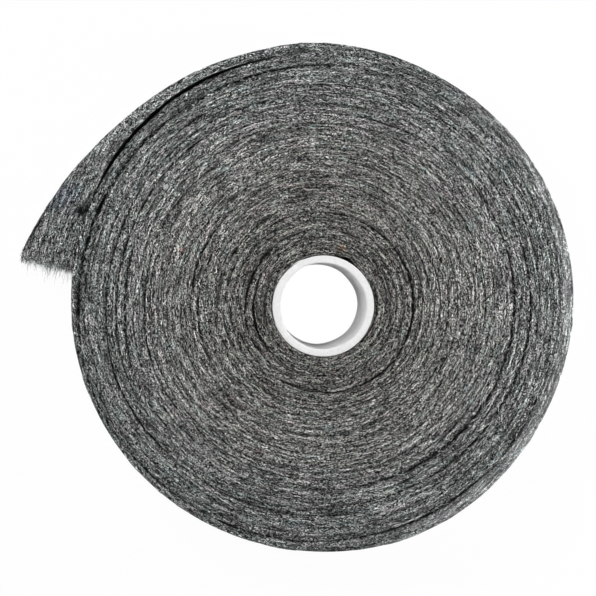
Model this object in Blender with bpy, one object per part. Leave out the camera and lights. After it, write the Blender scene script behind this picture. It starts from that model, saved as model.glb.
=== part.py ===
"""A roll of steel wool: one long ribbon of wool wound on a white board tube, standing on its end.

Metres, +Z up. The roll's axis is vertical. The origin is the middle of the footprint, loose end
included, on the surface that the roll stands on. The loose end lies to the left, at -X.

Run it from the text editor, or with: blender --background --python part.py
"""

import math

import bmesh
import bpy

# The tube, for a two-inch spindle
CORE_BORE_RADIUS = 0.0258
CORE_WALL = 0.0045
CORE_RECESS = 0.0015  # the upper rim lies this far below the highest turn
CORE_CHAMFER = 0.0004  # on the four cut edges
CORE_FACETS = 48
CORE_STANDS_OFF = (0.0017, -0.0035)  # from the centre of the last turn: the roll built up unevenly

# The ribbon as it is wound
RIBBON_WIDTH = 0.100  # from edge to edge, which is the height of the roll
RIBBON_THICKNESS = 0.0054  # one turn, pressed between its neighbours
RIBBON_START_THICKNESS = 0.0012  # its first end, pressed thin against the tube
ROLL_RADIUS = 0.150  # halfway round the last full turn
SEAT_GAP = 0.0003  # between the tube and the first turn
FACETS_PER_TURN = 40

# The ribbon's edges, which are the two ends of the roll
CREASE_WIDTH = 0.0016  # across the crease between two turns
CREASE_DEPTH = 0.0016  # but see DEEP_CREASES
CREASE_STRAY = 0.0007  # a crease strays this far to either side of the true spiral
EDGE_UNEVENNESS = 0.0012  # the lowest turn at the upper end lies this far below the highest
WALL_BULGE = 0.0008  # the round wall swells this much between the ends

# Kinks that neighbouring turns share: how far out, the bearing in degrees, how far in and out and how
# many degrees round to either side they reach, and how far they push a crease outward
KINKS = (
    (0.130, 203, 0.045, 19, 0.0029),
    (0.092, 127, 0.024, 10, -0.0016),
    (0.122, 88, 0.022, 32, -0.0026),
    (0.116, 345, 0.018, 42, 0.0022),
    (0.146, 125, 0.006, 27, -0.0026),
    (0.149, 340, 0.008, 62, -0.0036),
    (0.055, 192, 0.014, 17, 0.0018),
)

# Creases that stand open: how many turns out from the ribbon's first end their middle lies, how far along
# the turn they reach to either side, and their extra depth
DEEP_CREASES = (
    (3.55, 0.12, 0.0020),
    (5.10, 0.22, 0.0021),
    (14.59, 0.12, 0.0018),
    (16.06, 0.17, 0.0026),
    (16.64, 0.08, 0.0022),
    (18.06, 0.17, 0.0017),
    (21.56, 0.21, 0.0024),
    (22.02, 0.20, 0.0020),
)

# The loose end, which the wool's own spring has opened out
TAIL_LEAVES_AT = math.radians(100)
TAIL_SWEEP = math.radians(72)
TAIL_GAP = 0.0018  # the slit between it and the roll
TAIL_GAP_OPENS_IN = 0.2  # of its length, and closes again in as much
TAIL_GAP_CLOSES_AFTER = 0.6  # of its length
TAIL_GAP_LEFT = 0.0004  # where it lies against the roll
TAIL_END_THICKNESS = 0.031
TAIL_FLARE = 2.4  # power of the way along it: most of the swelling is near the end
TAIL_END_DROP = 0.007  # the upper edge sinks this far
TAIL_END_ROUNDING = 0.004  # the corners of its section at the end
TAIL_TIP_SWEEP = math.radians(2.5)  # the blunt tip, past TAIL_SWEEP
TAIL_TIP_SHRINK = 0.45  # of the section, at the very end

WOOL_GREY = (0.115, 0.12, 0.12, 1.0)
BOARD_WHITE = (0.86, 0.86, 0.85, 1.0)

CORE_RADIUS = CORE_BORE_RADIUS + CORE_WALL
WOOL_BORE_RADIUS = CORE_RADIUS + SEAT_GAP
FACET_ANGLE = 2 * math.pi / FACETS_PER_TURN
TAIL_FACETS = round(TAIL_SWEEP / FACET_ANGLE)  # in line with the roll's, so the gap between stays even
UPPER, LOWER = 1, 0


def wound_facets():
    """How many facets of ribbon lie between its first end and the place where the loose end leaves."""
    build_up = ROLL_RADIUS - WOOL_BORE_RADIUS - RIBBON_START_THICKNESS
    return round(FACETS_PER_TURN * (build_up / RIBBON_THICKNESS + 0.5))


WOUND = wound_facets()
# The turns are pressed a hair thinner or thicker, so that they come out at a whole number of facets.
PITCH = (ROLL_RADIUS - WOOL_BORE_RADIUS - RIBBON_START_THICKNESS) / (WOUND / FACETS_PER_TURN - 0.5)


def direction(station):
    """The angle round the axis of a facet's edge, counted from the ribbon's first end."""
    return TAIL_LEAVES_AT + (station - WOUND) * FACET_ANGLE


def plan_point(radius, angle):
    """A point in plan. The turns drift off the tube's centre as they build up."""
    built = (radius - WOOL_BORE_RADIUS) / (ROLL_RADIUS - WOOL_BORE_RADIUS)
    drift = 1 - min(1.0, built)
    off_x, off_y = (drift * off for off in CORE_STANDS_OFF)
    return off_x + radius * math.cos(angle), off_y + radius * math.sin(angle)


def spiral_radius(station):
    turns = (station - FACETS_PER_TURN) / FACETS_PER_TURN
    return WOOL_BORE_RADIUS + RIBBON_START_THICKNESS + PITCH * turns


def stray(station):
    """How far a crease leaves the true spiral: nothing at the tube and at the outside."""
    turns_in = (station - FACETS_PER_TURN) / FACETS_PER_TURN
    turns_left = (WOUND - station) / FACETS_PER_TURN
    fade = max(0.0, min(1.0, turns_in, 4 * turns_left))
    angle = station * FACET_ANGLE
    away = CREASE_STRAY * (0.6 * math.sin(0.37 * angle + 1) + 0.4 * math.sin(1.62 * angle))
    for far_out, bearing, reach, half, push in KINKS:
        off = (math.degrees(direction(station)) - bearing + 180) % 360 - 180
        away += push * math.exp(-(((spiral_radius(station) - far_out) / reach) ** 2) - (off / half) ** 2)
    return fade * away


def crease_radius(station):
    """The boundary between two turns. Its first turn is the wool's bore, its last the outside."""
    if station < FACETS_PER_TURN:
        return WOOL_BORE_RADIUS
    return spiral_radius(station) + stray(station)


def crease_depth(station):
    """How deep the crease is here, which fades to the usual depth on either side of an open stretch."""
    depth = CREASE_DEPTH
    for middle, half, extra in DEEP_CREASES:
        depth += extra * math.exp(-(((station / FACETS_PER_TURN - middle) / half) ** 2))
    return depth


def unevenness(station):
    """From 0 to 1: how far the ribbon's upper edge lies below the highest turn."""
    angle = station * FACET_ANGLE
    return 0.5 + 0.3 * math.sin(0.83 * angle) + 0.2 * math.sin(0.29 * angle + 2)


def crease_height(side, depth):
    return depth if side == LOWER else RIBBON_WIDTH - EDGE_UNEVENNESS / 2 - depth


def crown_height(side, station, fullness):
    """The flat of a turn's edge. A turn pressed thin rises less above its creases."""
    crown = 0.0 if side == LOWER else RIBBON_WIDTH - EDGE_UNEVENNESS * unevenness(station)
    usual = crease_height(side, CREASE_DEPTH)
    return usual + fullness * (crown - usual)


def tail_section(along, shrink):
    """The loose end's section: inner and outer radius past the roll, corner size, lower and upper edge.

    along is 0 where it leaves the roll and 1 at its end. shrink draws the section in about its middle.
    """
    opened = min(1.0, along / TAIL_GAP_OPENS_IN)
    closed = max(0.0, min(1.0, (along - TAIL_GAP_CLOSES_AFTER) / TAIL_GAP_OPENS_IN))
    gap = opened * (TAIL_GAP + closed * (TAIL_GAP_LEFT - TAIL_GAP))
    swelling = along**TAIL_FLARE
    thickness = PITCH + (TAIL_END_THICKNESS - PITCH) * swelling
    corner = CREASE_WIDTH / 2 + (TAIL_END_ROUNDING - CREASE_WIDTH / 2) * swelling
    upper = crown_height(UPPER, WOUND, 1.0) - TAIL_END_DROP * swelling
    inset = shrink * thickness / 2
    return gap + inset, gap + thickness - inset, corner * (1 - shrink), inset, upper - inset


def corner_depth(corner):
    """How far a corner of the loose end reaches down: as a crease does at first, and then as it widens."""
    return CREASE_DEPTH + corner - CREASE_WIDTH / 2


class RibbonSide:
    """The vertices of one end of the roll: the creases, and the two shoulders of each turn's edge."""

    def __init__(self, mesh, side):
        self.mesh = mesh
        self.side = side
        last_crease = WOUND + FACETS_PER_TURN
        self.creases = [self.crease(station) for station in range(last_crease + 1)]
        shoulders = [self.shoulders(station) for station in range(WOUND + 1)]
        self.inner_shoulders, self.outer_shoulders = map(list, zip(*shoulders))
        self.tail_inside = [self.creases[WOUND]]
        self.tail_outside = [self.creases[last_crease]]
        for facet in range(1, TAIL_FACETS + 1):
            self.add_tail_station(facet / TAIL_FACETS, 0.0)
        self.add_tail_station(1.0, TAIL_TIP_SHRINK)

    def vertex(self, radius, angle, height):
        return self.mesh.verts.new((*plan_point(radius, angle), height))

    def crease(self, station):
        height = crease_height(self.side, crease_depth(station))
        return self.vertex(crease_radius(station), direction(station), height)

    def shoulders(self, station):
        """The flat edge of the ribbon here, between its inner and its outer crease."""
        inside, outside = crease_radius(station), crease_radius(station + FACETS_PER_TURN)
        if station == FACETS_PER_TURN:
            inside = WOOL_BORE_RADIUS + RIBBON_START_THICKNESS
        fullness = min(1.0, (outside - inside) / PITCH)
        half_crease = fullness * CREASE_WIDTH / 2
        height = crown_height(self.side, station, fullness)
        angle = direction(station)
        return (
            self.vertex(inside + half_crease, angle, height),
            self.vertex(outside - half_crease, angle, height),
        )

    def add_tail_station(self, along, shrink):
        """One more section of the loose end, at the tip if it is drawn in."""
        sweep = along * TAIL_FACETS * FACET_ANGLE + (TAIL_TIP_SWEEP if shrink else 0.0)
        inside, outside, corner, lower, upper = tail_section(along, shrink)
        roll_wall = crease_radius(WOUND) + PITCH * sweep / (2 * math.pi)
        angle = TAIL_LEAVES_AT + sweep
        if self.side == UPPER:
            crown, edge = upper, upper - corner_depth(corner)
        else:
            crown, edge = lower, lower + CREASE_DEPTH + (corner_depth(corner) - CREASE_DEPTH) / 2
        self.tail_inside.append(self.vertex(roll_wall + inside, angle, edge))
        self.inner_shoulders.append(self.vertex(roll_wall + inside + corner, angle, crown))
        self.outer_shoulders.append(self.vertex(roll_wall + outside - corner, angle, crown))
        self.tail_outside.append(self.vertex(roll_wall + outside, angle, edge))

    def faces(self):
        """Three strips along the ribbon, from crease to shoulder to shoulder to crease."""
        inner = self.creases[: WOUND + 1] + self.tail_inside[1:]
        outer = self.creases[FACETS_PER_TURN:] + self.tail_outside[1:]
        bridge(self.mesh, inner, self.inner_shoulders)
        bridge(self.mesh, self.inner_shoulders, self.outer_shoulders)
        bridge(self.mesh, self.outer_shoulders, outer)
        # The ribbon's first end, and the ground in front of it where the next turn climbs over
        start, climb = self.creases[0], self.creases[FACETS_PER_TURN]
        self.mesh.faces.new((start, self.inner_shoulders[0], self.outer_shoulders[0], climb))
        self.mesh.faces.new((self.creases[FACETS_PER_TURN - 1], start, climb))


def bridge(mesh, row, other):
    """Quads between two rows of as many vertices."""
    for k in range(len(row) - 1):
        mesh.faces.new((row[k], row[k + 1], other[k + 1], other[k]))


def wall_column(mesh, upper, lower, outward, bulge):
    """The vertices down a wall, which swells outward by bulge between its ends."""
    column = [upper]
    for share in (1 / 3, 2 / 3):
        point = upper.co.lerp(lower.co, share)
        column.append(
            mesh.verts.new((point.x + outward[0] * bulge, point.y + outward[1] * bulge, point.z))
        )
    return column + [lower]


def add_walls(mesh, upper, lower):
    """The bore, the round outside from the slit to the tail's tip, and back along the tail's inside."""
    ring = FACETS_PER_TURN
    bridge(mesh, upper.creases[:ring] + upper.creases[:1], lower.creases[:ring] + lower.creases[:1])

    columns = []
    for station in range(WOUND, WOUND + ring):
        angle = direction(station)
        past_tail = station - WOUND - TAIL_FACETS - 1
        bulge = WALL_BULGE * max(0.0, min(1.0, past_tail / 4))
        outward = (math.cos(angle), math.sin(angle))
        pair = upper.creases[station], lower.creases[station]
        columns.append(wall_column(mesh, *pair, outward, bulge))
    for above, below in zip(upper.tail_outside, lower.tail_outside):
        outward = above.co.xy.normalized()
        columns.append(wall_column(mesh, above, below, outward, WALL_BULGE))
    inside = list(zip(upper.tail_inside, lower.tail_inside))[:0:-1]
    columns += [wall_column(mesh, above, below, (0, 0), 0) for above, below in inside]

    tip_outside = ring + len(upper.tail_outside) - 1
    for k, column in enumerate(columns):
        if k != tip_outside:
            bridge(mesh, column, columns[(k + 1) % len(columns)])
    close_tip(mesh, upper, lower, columns[tip_outside], columns[tip_outside + 1])


def close_tip(mesh, upper, lower, outside, inside):
    """The flat face at the very end of the loose end."""
    over = [upper.inner_shoulders[-1], upper.outer_shoulders[-1]]
    under = [lower.outer_shoulders[-1], lower.inner_shoulders[-1]]
    mesh.faces.new(over + outside + under + inside[::-1])


def build_wool():
    mesh = bmesh.new()
    upper, lower = RibbonSide(mesh, UPPER), RibbonSide(mesh, LOWER)
    upper.faces()
    lower.faces()
    add_walls(mesh, upper, lower)
    return finished("steel_wool_ribbon", mesh, "steel_wool", WOOL_GREY, 0.55, 0.8)


def build_core():
    """The tube, spun from its section, with the cut edges broken."""
    length = RIBBON_WIDTH - CORE_RECESS
    c = CORE_CHAMFER
    section = [
        (CORE_BORE_RADIUS + c, 0),
        (CORE_RADIUS - c, 0),
        (CORE_RADIUS, c),
        (CORE_RADIUS, length - c),
        (CORE_RADIUS - c, length),
        (CORE_BORE_RADIUS + c, length),
        (CORE_BORE_RADIUS, length - c),
        (CORE_BORE_RADIUS, c),
    ]
    mesh = bmesh.new()
    corners = [mesh.verts.new((radius, 0, height)) for radius, height in section]
    outline = [mesh.edges.new((corners[k - 1], corners[k])) for k in range(len(corners))]
    bmesh.ops.spin(
        mesh,
        geom=corners + outline,
        cent=(0, 0, 0),
        axis=(0, 0, 1),
        angle=2 * math.pi,
        steps=CORE_FACETS,
        use_merge=True,
    )
    core = finished("core_tube", mesh, "white_board", BOARD_WHITE, 0.7, 0.0)
    core.location = (*CORE_STANDS_OFF, 0)
    return core


def finished(name, mesh, material_name, colour, roughness, metallic):
    """The object of a finished mesh, with its material."""
    bmesh.ops.recalc_face_normals(mesh, faces=mesh.faces)
    data = bpy.data.meshes.new(name)
    mesh.to_mesh(data)
    mesh.free()
    data.shade_smooth()
    data.set_sharp_from_angle(angle=math.radians(30))
    material = bpy.data.materials.new(material_name)
    material.use_nodes = True
    shader = material.node_tree.nodes["Principled BSDF"]
    shader.inputs["Base Color"].default_value = colour
    shader.inputs["Roughness"].default_value = roughness
    shader.inputs["Metallic"].default_value = metallic
    data.materials.append(material)
    piece = bpy.data.objects.new(name, data)
    bpy.context.scene.collection.objects.link(piece)
    return piece


def main():
    for old in list(bpy.data.objects):
        bpy.data.objects.remove(old)
    wool, core = build_wool(), build_core()
    corners = [vertex.co for vertex in wool.data.vertices]
    middle = [(min(c[k] for c in corners) + max(c[k] for c in corners)) / 2 for k in range(2)]
    roll = bpy.data.objects.new("roll_axis", None)
    bpy.context.scene.collection.objects.link(roll)
    roll.location = (-middle[0], -middle[1], 0)
    for piece in (wool, core):
        piece.parent = roll


main()
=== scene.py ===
import math

import bpy
import numpy as np
from mathutils import Matrix, Vector


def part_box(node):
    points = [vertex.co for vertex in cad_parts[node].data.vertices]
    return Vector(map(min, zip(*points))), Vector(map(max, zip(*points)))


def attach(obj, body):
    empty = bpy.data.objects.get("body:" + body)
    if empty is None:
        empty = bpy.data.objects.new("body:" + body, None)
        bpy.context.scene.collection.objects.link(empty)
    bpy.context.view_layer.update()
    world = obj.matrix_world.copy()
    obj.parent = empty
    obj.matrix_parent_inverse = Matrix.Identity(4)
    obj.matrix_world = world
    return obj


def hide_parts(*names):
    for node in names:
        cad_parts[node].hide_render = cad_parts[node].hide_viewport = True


# The looks of a steel wool roll: the creased spiral of turns, the fibres on every side of it, the frayed
# loose end, and the white board tube in the middle. Metres throughout.

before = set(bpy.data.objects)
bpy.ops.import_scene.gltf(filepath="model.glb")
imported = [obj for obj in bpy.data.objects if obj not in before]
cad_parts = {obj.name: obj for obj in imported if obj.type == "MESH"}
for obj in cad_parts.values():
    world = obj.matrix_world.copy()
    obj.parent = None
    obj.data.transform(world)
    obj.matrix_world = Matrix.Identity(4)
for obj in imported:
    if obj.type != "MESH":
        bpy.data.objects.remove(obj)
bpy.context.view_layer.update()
TURN = 2 * math.pi

# The roll, as its solid is wound
WOOL_LOW, WOOL_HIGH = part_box("steel_wool_ribbon")
TUBE_LOW, TUBE_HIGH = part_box("core_tube")
TUBE_CENTRE = np.array((TUBE_LOW + TUBE_HIGH)[:2]) / 2
TUBE_STANDS_OFF = np.array((0.0017, -0.0035))
ROLL_CENTRE = TUBE_CENTRE - TUBE_STANDS_OFF
TUBE_RADIUS = (TUBE_HIGH.x - TUBE_LOW.x) / 2
TUBE_WALL = 0.0045
BORE_RADIUS = TUBE_RADIUS - TUBE_WALL
SEAT_GAP = 0.0003
WOOL_BORE = TUBE_RADIUS + SEAT_GAP
ROLL_RADIUS = 0.150
ROLL_HEIGHT = WOOL_HIGH.z
FIRST_THICKNESS = 0.0012
RIBBON_THICKNESS = 0.0054
SOLID_FACETS = 40
TAIL_LEAVES = math.radians(100)
TAIL_ENDS = math.radians(172.6)

BUILD_UP = ROLL_RADIUS - WOOL_BORE - FIRST_THICKNESS
WOUND = round(SOLID_FACETS * (BUILD_UP / RIBBON_THICKNESS + 0.5)) / SOLID_FACETS
PITCH = BUILD_UP / (WOUND - 0.5)

# The loose end, past the wound turns. The slit beside it opens and closes at shares of its length.
TAIL_TURNS = (TAIL_ENDS - TAIL_LEAVES) / TURN
TAIL_SLIT = 0.0018
TAIL_SLIT_LEFT = 0.0004
SLIT_OPEN_BY = 0.3
SLIT_CLOSES = (0.62, 0.80)
SLIT_LIGHTENS = (0.55, 0.78)
TAIL_THICKNESS = 0.031
TAIL_FLARE = 2.4
TAIL_DROP = 0.007
TAIL_ROUNDING = 0.004
END_SLANT = math.radians(1.3)

# Kinks that neighbouring turns share: how far out, the bearing, the reach in and out and to either side,
# and the push outward. Bearings are in degrees here and below.
KINKS = (
    (0.130, 203, 0.045, 19, 0.0029),
    (0.092, 127, 0.024, 10, -0.0016),
    (0.122, 88, 0.022, 32, -0.0026),
    (0.116, 345, 0.018, 42, 0.0022),
    (0.146, 125, 0.006, 27, -0.0026),
    (0.149, 340, 0.008, 62, -0.0036),
    (0.055, 192, 0.014, 17, 0.0018),
)

# Where the loose end is folded over by its inner side: from, to, and how far in
FOLD_FROM, FOLD_TO = 155.0, 160.4
FOLD_WIDTH = 0.0082

# A slot along its outer side, sunk and painted dark as shade: where it opens and closes, and its width
SLOT_OPENS, SLOT_CLOSES = (163.4, 165), (168.5, 170)
SLOT_WIDTH = 0.0014

# Where the first turn stands off the tube: the bearing, the reach to either side, and the gap
BORE_GAP = (62, 10, 0.0019)

# Where the outside is out of round: how far round past the loose end, the reach to either side, and how
# far out
BULGES = (
    (297, 26, 0.0017),
    (360, 20, 0.0006),
    (418, 16, -0.0010),
    (454, 13, 0.0010),
    (500, 22, -0.0011),
)

# Creases that stand open: where in turns, the reach to either side, and the extra depth
DEEP_CREASES = (
    (2.66, 0.08, 0.0018),
    (3.55, 0.12, 0.0020),
    (5.10, 0.22, 0.0021),
    (8.63, 0.09, 0.0014),
    (9.02, 0.12, 0.0010),
    (9.56, 0.11, 0.0015),
    (14.59, 0.12, 0.0018),
    (16.02, 0.19, 0.0030),
    (16.64, 0.08, 0.0022),
    (17.10, 0.16, 0.0012),
    (17.58, 0.12, 0.0012),
    (18.06, 0.17, 0.0017),
    (18.62, 0.20, 0.0011),
    (19.07, 0.15, 0.0008),
    (21.56, 0.21, 0.0024),
    (22.02, 0.12, 0.0018),
)

# An ordinary crease: its depth and the least of it, how that varies (bumps in a turn, row of the grain,
# seed, depth), its width, how that varies, and how it widens with the extra depth
CREASE_DEPTH, LEAST_DEPTH = 0.0012, 0.0003
DEPTH_GRAIN = ((6, 3.5, 21, 0.0010), (23, 1.5, 22, 0.0008), (64, 5.5, 28, 0.0009))
CREASE_WIDTH, WIDTH_VARIES, WIDENS = 0.00046, 0.00016, 0.28
TURN_FOLD_DEPTH, TURN_FOLD_WIDTH = 0.0021, 0.00055

# Painted shade, how dark things are painted: creases, from what depth, over how much more, and at most; the
# loose end's fold; the soft band beside an open crease; and the slit's line and the shade beside it
DARK_FROM, DARK_OVER, DARK_MOST = 0.0004, 0.0022, 0.85
FOLD_DARK = 0.31
BAND_WIDTH, BAND_DARK = 0.0022, 150
SLIT_LINE, SHADE_WIDTH, SHADE_DARK = 0.0005, 0.003, 0.36

# The ends' surface: rounded edges, the fold's and the slot's pits, unevenness of the turns, room for fibres,
# and lumps (length, width, rows of the grain for a turn, seed, height)
EDGE_ROUNDING, SLIT_ROUNDING = 0.0014, 0.0012
FOLD_PIT, SLOT_PIT = 0.0012, 0.0010
UNEVEN, FIBRE_ROOM = 0.0012, 0.0003
LUMPS = ((0.012, 0.0011, 7, 26, 0.00035), (0.005, 0.0005, 13, 27, 0.00022))

# How far the round wall swells between the ends, is lumpy, and is set back
WALL_SWELL, WALL_LUMPS, WALL_SET_BACK = 0.0009, 0.0006, 0.0004


# Chance, the same on every run

def chance(seed):
    return np.random.default_rng(seed)


LATTICE = 257


def grain(u, v, seed):
    """A smooth uneven field from -1 to 1, whose bumps are one unit apart in u and v."""
    lattice = chance(seed).uniform(-1, 1, (LATTICE, LATTICE))
    u, v = np.broadcast_arrays(u, v)
    iu, iv = np.floor(u).astype(int), np.floor(v).astype(int)
    fu, fv = u - iu, v - iv
    fu, fv = fu * fu * (3 - 2 * fu), fv * fv * (3 - 2 * fv)
    iu, iv, ju, jv = iu % LATTICE, iv % LATTICE, (iu + 1) % LATTICE, (iv + 1) % LATTICE
    a, b, c, d = lattice[iu, iv], lattice[ju, iv], lattice[iu, jv], lattice[ju, jv]
    return (a * (1 - fu) + b * fu) * (1 - fv) + (c * (1 - fu) + d * fu) * fv


def ramp(x, low, high):
    """0 below low, 1 above high, and smooth between."""
    t = np.clip((x - low) / (high - low), 0, 1)
    return t * t * (3 - 2 * t)


def bell(x):
    """1 at 0, and falling off smoothly to either side."""
    return np.exp(-(x**2))


# The lie of the ribbon. turns counts from its first end, and across goes from 0 at a turn's inner crease
# to 1 at its outer one.

def bearing(turns):
    return TAIL_LEAVES + (np.asarray(turns) - WOUND) * TURN


def degrees_past(turns, middle):
    """How many degrees past a bearing the ribbon is here, from -180 to 180."""
    return (np.degrees(bearing(turns)) - middle + 180) % 360 - 180


def plan(radius, angle):
    """Places in plan. The turns drift off the tube's centre as they build up."""
    built = np.clip((radius - WOOL_BORE) / (ROLL_RADIUS - WOOL_BORE), 0, 1)
    x = ROLL_CENTRE[0] + (1 - built) * TUBE_STANDS_OFF[0] + radius * np.cos(angle)
    y = ROLL_CENTRE[1] + (1 - built) * TUBE_STANDS_OFF[1] + radius * np.sin(angle)
    return x, y


def spiral(turns):
    return WOOL_BORE + FIRST_THICKNESS + PITCH * (turns - 1)


def crease_stray(turns):
    """How far the creases leave the true spiral: as the solid's do, and a little more."""
    fade = np.clip(np.minimum(turns - 1, 4 * (WOUND - turns)), 0, 1)
    angle = turns * TURN
    stray = 0.0007 * (0.6 * np.sin(0.37 * angle + 1) + 0.4 * np.sin(1.62 * angle))
    for far_out, middle, reach, half, shift in KINKS:
        off = degrees_past(turns, middle)
        stray = stray + shift * np.exp(-(((spiral(turns) - far_out) / reach) ** 2) - (off / half) ** 2)
    close = 0.0006 * grain(turns * 11, 0.5, 11) + 0.0003 * grain(turns * 37, 0.5, 12)
    return fade * (stray + close)


def crease_radius(turns):
    """Where the turn that ends here lies against the next one."""
    turns = np.asarray(turns, float)
    middle, half, gap = BORE_GAP
    stands_off = gap * bell(degrees_past(turns, middle) / half)
    return np.where(turns < 1, WOOL_BORE + stands_off, spiral(turns) + crease_stray(turns))


def along_tail(turns):
    """0 where the loose end leaves the roll, and 1 at its end."""
    return np.clip((np.asarray(turns) - WOUND) / TAIL_TURNS, 0, None)


def bearing_at(turns, across):
    """The loose end is cut a little aslant, shorter on its outer side."""
    return bearing(turns) - END_SLANT * across * np.clip(along_tail(turns), 0, 1.05) ** 4


def inner_radius(turns):
    """The ribbon's inner side: on the turn before, or off it at the loose end."""
    along = along_tail(turns)
    slit = TAIL_SLIT + (TAIL_SLIT_LEFT - TAIL_SLIT) * ramp(along, *SLIT_CLOSES)
    slit = slit * ramp(along, 0, SLIT_OPEN_BY)
    wall = crease_radius(WOUND) + PITCH * (turns - WOUND)
    return np.where(turns <= WOUND, crease_radius(turns), wall + slit)


def outer_radius(turns):
    along = along_tail(turns)
    wall = crease_radius(WOUND) + PITCH * (turns - WOUND)
    thick = PITCH + (TAIL_THICKNESS - PITCH) * along**TAIL_FLARE
    slit = TAIL_SLIT * ramp(along, 0, SLIT_OPEN_BY)
    radius = np.where(turns <= WOUND, crease_radius(np.asarray(turns) + 1), wall + slit + thick)
    round_wall = np.degrees(TAIL_LEAVES + (np.asarray(turns) + 1 - WOUND) * TURN)
    for middle, half, out in BULGES:
        near = bell((round_wall - middle) / half)
        radius = radius + np.where(turns > WOUND - 1, out * near, 0)
    return radius


def thickness(turns):
    return np.maximum(outer_radius(turns) - inner_radius(turns), 1e-4)


def ribbon_radius(turns, across):
    inside = inner_radius(turns)
    return inside + across * (outer_radius(turns) - inside)


# The ribbon's edges, which make the roll's two ends

def opening(turns):
    """How much deeper a crease is where it stands open."""
    return sum(extra * bell((turns - middle) / half) for middle, half, extra in DEEP_CREASES)


def crease_depth(turns):
    """How deep a crease is here: it fades in and out along the turn."""
    depth = CREASE_DEPTH
    for bumps, row, seed, reach in DEPTH_GRAIN:
        depth = depth + reach * grain(turns * bumps, row, seed)
    return np.clip(depth + opening(turns), LEAST_DEPTH, None)


def unevenness(angle):
    return 0.5 + 0.3 * np.sin(0.83 * angle) + 0.2 * np.sin(0.29 * angle + 2)


def turn_folds(turns, across, thick):
    """A turn's own fold, which comes and goes: its depth, and how close a place is to it."""
    at = 0.5 + 0.28 * grain(turns * 5, 2.5, 24)
    depth = TURN_FOLD_DEPTH * np.clip(grain(turns * 5, 6.5, 25) + 0.4, 0, 1)
    return depth, np.exp(-(np.abs((across - at) * thick / TURN_FOLD_WIDTH) ** 1.5))


def crease_shares(turns, across):
    """How close a place is to the creases inside and outside it: 1 is in the crease."""
    thick = thickness(turns)
    width = CREASE_WIDTH + WIDTH_VARIES * grain(turns * 9, 8.5, 23)
    inner = np.exp(-((across * thick / (width + WIDENS * opening(turns))) ** 1.4))
    outer = np.exp(-(((1 - across) * thick / (width + WIDENS * opening(turns + 1))) ** 1.4))
    return np.where(turns > WOUND, 0, inner), np.where(turns + 1 > WOUND, 0, outer)


def loose_end_pits(turns, across):
    """Two pits on the loose end: the fold by its inner side, and a slot along its outer side."""
    angle, thick = np.degrees(bearing(turns)), thickness(turns)
    loose = turns > WOUND
    opened = np.clip((angle - FOLD_FROM) / (FOLD_TO - FOLD_FROM), 0.02, 1)
    fold = ramp(opened, 0.02, 0.75) * (1 - ramp(angle, FOLD_TO - 0.5, FOLD_TO + 0.5))
    fold = fold * (1 - ramp(across * thick / (FOLD_WIDTH * opened), 0.5, 1.15))
    slot = ramp(angle, *SLOT_OPENS) * (1 - ramp(angle, *SLOT_CLOSES))
    slot = slot * bell((1 - across) * thick / SLOT_WIDTH)
    return loose * fold, loose * slot


def in_crease(turns, across):
    """Painted shade: from 0 on the open wool to 1 in the bottom of a deep crease or of the slit."""
    turns, across = np.broadcast_arrays(np.asarray(turns, float), across)
    thick = thickness(turns)
    from_inner, from_outer = across * thick, (1 - across) * thick
    inner, outer = crease_shares(turns, across)
    depth = np.maximum(crease_depth(turns) * inner, crease_depth(turns + 1) * outer)
    # A turn's own fold is not sunk into the surface: its line is painted shade alone.
    fold_depth, fold = turn_folds(turns, across, thick)
    depth = np.maximum(depth, fold_depth * fold)
    closed = ramp(along_tail(turns), *SLIT_LIGHTENS)
    slit = bell(from_inner / SLIT_LINE) * (turns > WOUND) * (1 - 0.6 * closed)
    covered = (turns + 1 > WOUND) * (1 - ramp(along_tail(turns + 1), *SLIT_LIGHTENS))
    shaded = np.maximum(bell(from_outer / SLIT_LINE), SHADE_DARK * bell(from_outer / SHADE_WIDTH))
    slit = np.maximum(slit, shaded * covered)
    pit, slot = loose_end_pits(turns, across)
    slit = np.maximum(slit, np.maximum(FOLD_DARK * pit, slot))
    inner_band = opening(turns) * bell(from_inner / BAND_WIDTH)
    band = np.maximum(inner_band, opening(turns + 1) * bell(from_outer / BAND_WIDTH))
    creases = np.maximum(np.clip((depth - DARK_FROM) / DARK_OVER, 0, DARK_MOST), BAND_DARK * band)
    return np.clip(np.maximum(creases, slit), 0, 1)


def sunk(turns, across):
    """How far the roll's end lies below its highest turn here."""
    turns, across = np.broadcast_arrays(np.asarray(turns, float), across)
    thick = thickness(turns)
    inner_share, outer_share = crease_shares(turns, across)
    grooves = crease_depth(turns) * inner_share + crease_depth(turns + 1) * outer_share
    # Edges are rounded on the outermost turn, and more so towards the loose end.
    swelling = along_tail(turns) ** TAIL_FLARE
    rounding = EDGE_ROUNDING + (TAIL_ROUNDING - EDGE_ROUNDING) * swelling
    shoulder = np.where(turns + 1 > WOUND, np.exp(-(((1 - across) * thick / rounding) ** 1.5)), 0)
    slit = np.where(turns > WOUND, np.exp(-((across * thick / SLIT_ROUNDING) ** 1.5)), 0)
    closed = ramp(along_tail(turns), *SLIT_CLOSES)
    shoulder = shoulder * 1.15 * rounding + EDGE_ROUNDING * slit * (1 - 0.7 * closed)
    # The loose end's fold is deeper by that of a turn there.
    pit, slot = loose_end_pits(turns, across)
    shoulder = shoulder + FOLD_PIT * pit + SLOT_PIT * slot
    own_depth, _ = turn_folds(turns, across, thick)
    angle, lumps = turns * TURN, 0
    long_way = angle * ribbon_radius(turns, across)
    for long, wide, rows, seed, high in LUMPS:
        lumps = lumps + high * grain(long_way / long, turns // 1 * rows + across * thick / wide, seed)
    level = UNEVEN * unevenness(angle) + FIBRE_ROOM
    return level + grooves + own_depth * pit + shoulder + TAIL_DROP * swelling - lumps


UPPER, LOWER = 1, -1


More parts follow.
